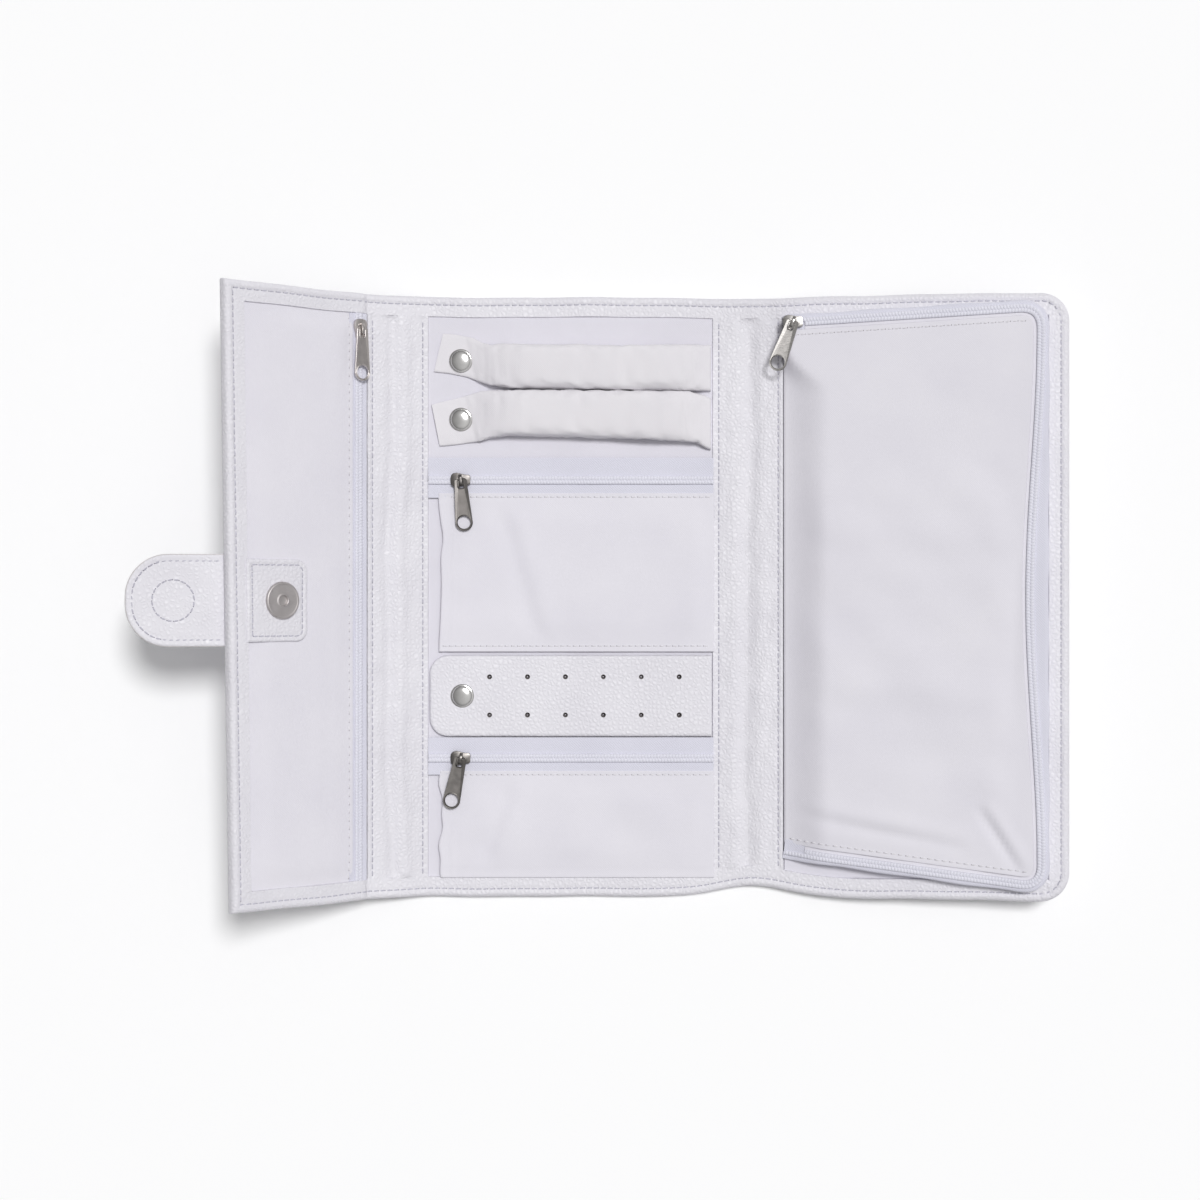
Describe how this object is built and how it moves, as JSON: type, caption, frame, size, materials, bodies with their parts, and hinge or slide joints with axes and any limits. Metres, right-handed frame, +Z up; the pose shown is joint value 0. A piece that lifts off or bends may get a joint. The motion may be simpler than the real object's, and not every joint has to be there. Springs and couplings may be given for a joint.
{
  "type": "folding jewelry organizer",
  "caption": "Soft folding jewelry case laid open: padded leather panels with zipped pockets, ring rolls, an earring strip, a zipped pouch and a snap tab.",
  "frame": {"origin": "middle of the centre panel's underside, on the surface that the case lies on", "axes": "+X towards the pouch panel, +Y towards the ring rolls, +Z up"},
  "size_m": [0.382, 0.252, 0.0597],
  "materials": {
    "leather": "pebbled, soft sheen",
    "padding": "felted foam",
    "lining": "plain weave, matte",
    "roll_cloth": "plain weave, matte",
    "zip_tape": "woven tape",
    "zip_coil": "satin nylon",
    "nickel": "nickel plate",
    "snap_cap": "polished"
  },
  "bodies": {
    "centre": {"centre_shell": "leather", "centre_padding": "padding", "centre_lining": "lining", "centre_hems": "leather", "upper_pocket_front": "lining", "lower_pocket_front": "lining", "upper_zip_tape": "zip_tape", "upper_zip_coil": "zip_coil", "lower_zip_tape": "zip_tape", "lower_zip_coil": "zip_coil", "snap_studs": "snap_cap"},
    "left_spine": {"left_spine_shell": "leather", "left_spine_padding": "padding", "left_spine_strip": "leather"},
    "flap": {"flap_shell": "leather", "flap_padding": "padding", "flap_lining": "lining", "flap_hem": "leather", "flap_pocket_front": "lining", "flap_zip_tape": "zip_tape", "flap_zip_coil": "zip_coil", "snap_patch": "leather", "magnet_socket": "nickel", "tab_anchor": "leather"},
    "tab": {"tab_outer": "leather", "tab_inner": "leather"},
    "right_spine": {"right_spine_shell": "leather", "right_spine_padding": "padding", "right_spine_strip": "leather"},
    "right_panel": {"right_shell": "leather", "right_padding": "padding", "right_lining": "lining", "right_border": "leather", "pouch_gusset": "lining", "pouch_outer_tape": "zip_tape", "pouch_outer_coil": "zip_coil", "pouch_margin": "lining", "magnet_stud": "nickel"},
    "pouch_cover": {"pouch_cover": "lining", "pouch_inner_tape": "zip_tape", "pouch_inner_coil": "zip_coil"},
    "upper_roll": {"upper_roll_cover": "roll_cloth", "upper_roll_filling": "padding", "upper_roll_snap": "snap_cap"},
    "lower_roll": {"lower_roll_cover": "roll_cloth", "lower_roll_filling": "padding", "lower_roll_snap": "snap_cap"},
    "earring_strip": {"earring_strip_back": "leather", "earring_strip_front": "leather", "earring_strip_snap": "snap_cap"},
    "upper_slider": {"upper_zip_slider": "nickel"},
    "upper_pull": {"upper_zip_pull": "nickel"},
    "lower_slider": {"lower_zip_slider": "nickel"},
    "lower_pull": {"lower_zip_pull": "nickel"},
    "flap_slider": {"flap_zip_slider": "nickel"},
    "flap_pull": {"flap_zip_pull": "nickel"},
    "pouch_slider": {"pouch_zip_slider": "nickel"},
    "pouch_pull": {"pouch_zip_pull": "nickel"}
  },
  "joints": [
    {"name": "left_spine_fold", "type": "hinge", "parent": "centre", "child": "left_spine", "pos_m": [-0.0595, 0, 0.004], "axis": [0, 1, 0], "range_deg": [-19, 70]},
    {"name": "flap_fold", "type": "hinge", "parent": "left_spine", "child": "flap", "pos_m": [-0.0844, 0, 0.01306], "axis": [0, 1, 0], "range_deg": [-17, 70]},
    {"name": "tab_bend", "type": "hinge", "parent": "flap", "child": "tab", "pos_m": [-0.13723, 0, 0.0506], "axis": [0, -1, 0], "range_deg": [-40, 30]},
    {"name": "right_spine_fold", "type": "hinge", "parent": "centre", "child": "right_spine", "pos_m": [0.0661, 0, 0.004], "axis": [0, -1, 0], "range_deg": [-3, 86]},
    {"name": "right_panel_fold", "type": "hinge", "parent": "right_spine", "child": "right_panel", "pos_m": [0.08306, 0, 0.00519], "axis": [0, -1, 0], "range_deg": [-2, 87]},
    {"name": "pouch_cover_fold", "type": "hinge", "parent": "right_panel", "child": "pouch_cover", "pos_m": [0.09709, 0, 0.01396], "axis": [0, 1, 0], "range_deg": [-90, 0]},
    {"name": "upper_roll_lift", "type": "hinge", "parent": "centre", "child": "upper_roll", "pos_m": [0.0587, 0.0966, 0.0032], "axis": [0, -1, 0], "range_deg": [-90, 0]},
    {"name": "lower_roll_lift", "type": "hinge", "parent": "centre", "child": "lower_roll", "pos_m": [0.0587, 0.0768, 0.0032], "axis": [0, -1, 0], "range_deg": [-90, 0]},
    {"name": "earring_strip_lift", "type": "hinge", "parent": "centre", "child": "earring_strip", "pos_m": [0.0587, -0.0415, 0.0032], "axis": [0, -1, 0], "range_deg": [-90, 0]},
    {"name": "upper_zip_run", "type": "slide", "parent": "centre", "child": "upper_slider", "axis": [1, 0, 0], "range_m": [0, 0.096]},
    {"name": "lower_zip_run", "type": "slide", "parent": "centre", "child": "lower_slider", "axis": [1, 0, 0], "range_m": [0, 0.096]},
    {"name": "flap_zip_run", "type": "slide", "parent": "flap", "child": "flap_slider", "axis": [0, -1, 0], "range_m": [0, 0.22]},
    {"name": "pouch_zip_run", "type": "slide", "parent": "right_panel", "child": "pouch_slider", "axis": [0.9914, 0.0477, 0.1217], "range_m": [0, 0.088]},
    {"name": "upper_pull_lift", "type": "hinge", "parent": "upper_slider", "child": "upper_pull", "pos_m": [-0.046, 0.049, 0.0073], "axis": [0.9962, 0.0872, 0], "range_deg": [-165, 0]},
    {"name": "lower_pull_lift", "type": "hinge", "parent": "lower_slider", "child": "lower_pull", "pos_m": [-0.046, -0.0676, 0.0073], "axis": [0.9781, -0.2079, 0], "range_deg": [-165, 0]},
    {"name": "flap_pull_lift", "type": "hinge", "parent": "flap_slider", "child": "flap_pull", "pos_m": [-0.0858, 0.11075, 0.01855], "axis": [0.766, 0, -0.6428], "range_deg": [-165, 0]},
    {"name": "pouch_pull_lift", "type": "hinge", "parent": "pouch_slider", "child": "pouch_pull", "pos_m": [0.09241, 0.11421, 0.01515], "axis": [0.9311, -0.3464, 0.1143], "range_deg": [-165, 0]}
  ]
}
